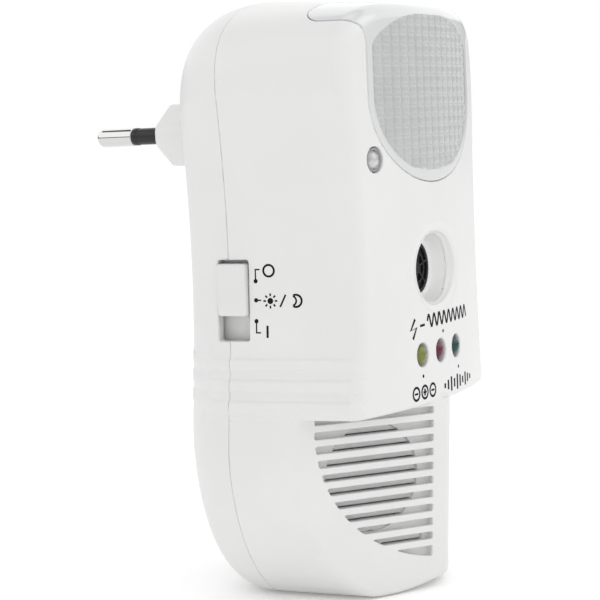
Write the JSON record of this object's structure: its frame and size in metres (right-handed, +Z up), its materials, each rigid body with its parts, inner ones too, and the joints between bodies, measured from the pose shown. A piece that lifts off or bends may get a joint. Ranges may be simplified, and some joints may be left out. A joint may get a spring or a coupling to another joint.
{
  "type": "ultrasonic pest repeller",
  "caption": "Plug-in pest repeller: white two-part case with frosted night light, sound opening, indicator lamps, slide switch and slatted speaker grille.",
  "frame": {"origin": "centre of the plug's contact face, midway between the two pins", "axes": "+Y along the pins into the socket, the front faces -Y, +Z up, the switch is on the -X side"},
  "size_m": [0.07, 0.0772, 0.1225],
  "materials": {
    "case_white": "satin moulded",
    "plug_white": "satin moulded",
    "pin_metal": "nickel plated",
    "sleeve_black": "matte",
    "brass_strap": "stamped",
    "screw_steel": "zinc plated",
    "lens_frosted": "frosted translucent",
    "sensor_clear": "clear dome",
    "sensor_cell": "matte",
    "horn_grey": "satin",
    "capsule_black": "satin",
    "lamp_green": "tinted clear",
    "lamp_red": "tinted clear",
    "lamp_teal": "tinted clear",
    "lamp_clear": "clear",
    "board_green": "solder mask",
    "capacitor_yellow": "moulded box",
    "capacitor_sleeve": "heat shrink",
    "component_black": "moulded",
    "copper_wire": "enamelled winding",
    "needle_steel": "polished",
    "speaker_frame": "pressed steel, painted",
    "speaker_cone": "coated paper",
    "magnet": "plated",
    "wire_red": "PVC insulation",
    "wire_grey": "PVC insulation",
    "switch_metal": "plated can"
  },
  "bodies": {
    "housing": {"front_cover": "case_white", "rear_cover": "case_white", "plug_insert": "plug_white", "pin_left": "pin_metal", "pin_right": "pin_metal", "pin_sleeve_left": "sleeve_black", "pin_sleeve_right": "sleeve_black", "contact_straps": "brass_strap", "case_screws": "screw_steel", "night_light_lens": "lens_frosted", "night_light_reflector": "case_white", "night_light_leds": "lamp_clear", "sensor_window": "sensor_clear", "photocell": "sensor_cell", "transducer_horn": "horn_grey", "transducer_capsule": "capsule_black", "lamp_green": "lamp_green", "lamp_red": "lamp_red", "lamp_teal": "lamp_teal", "front_board": "board_green", "main_board": "board_green", "mains_capacitor": "capacitor_yellow", "smoothing_capacitor": "capacitor_sleeve", "rectifier_diodes": "component_black", "pulse_coil": "copper_wire", "ioniser_module": "component_black", "ioniser_needle": "needle_steel", "speaker_frame_left": "speaker_frame", "speaker_cone_left": "speaker_cone", "speaker_magnet_left": "magnet", "speaker_frame_right": "speaker_frame", "speaker_cone_right": "speaker_cone", "speaker_magnet_right": "magnet", "speaker_leads": "wire_red", "board_link": "wire_grey", "switch_body": "switch_metal"},
    "switch": {"switch_slider": "component_black", "switch_knob": "plug_white"}
  },
  "joints": [
    {"name": "switch_slide", "type": "slide", "parent": "housing", "child": "switch", "axis": [0, 0, -1], "range_m": [0, 0.0048]}
  ]
}
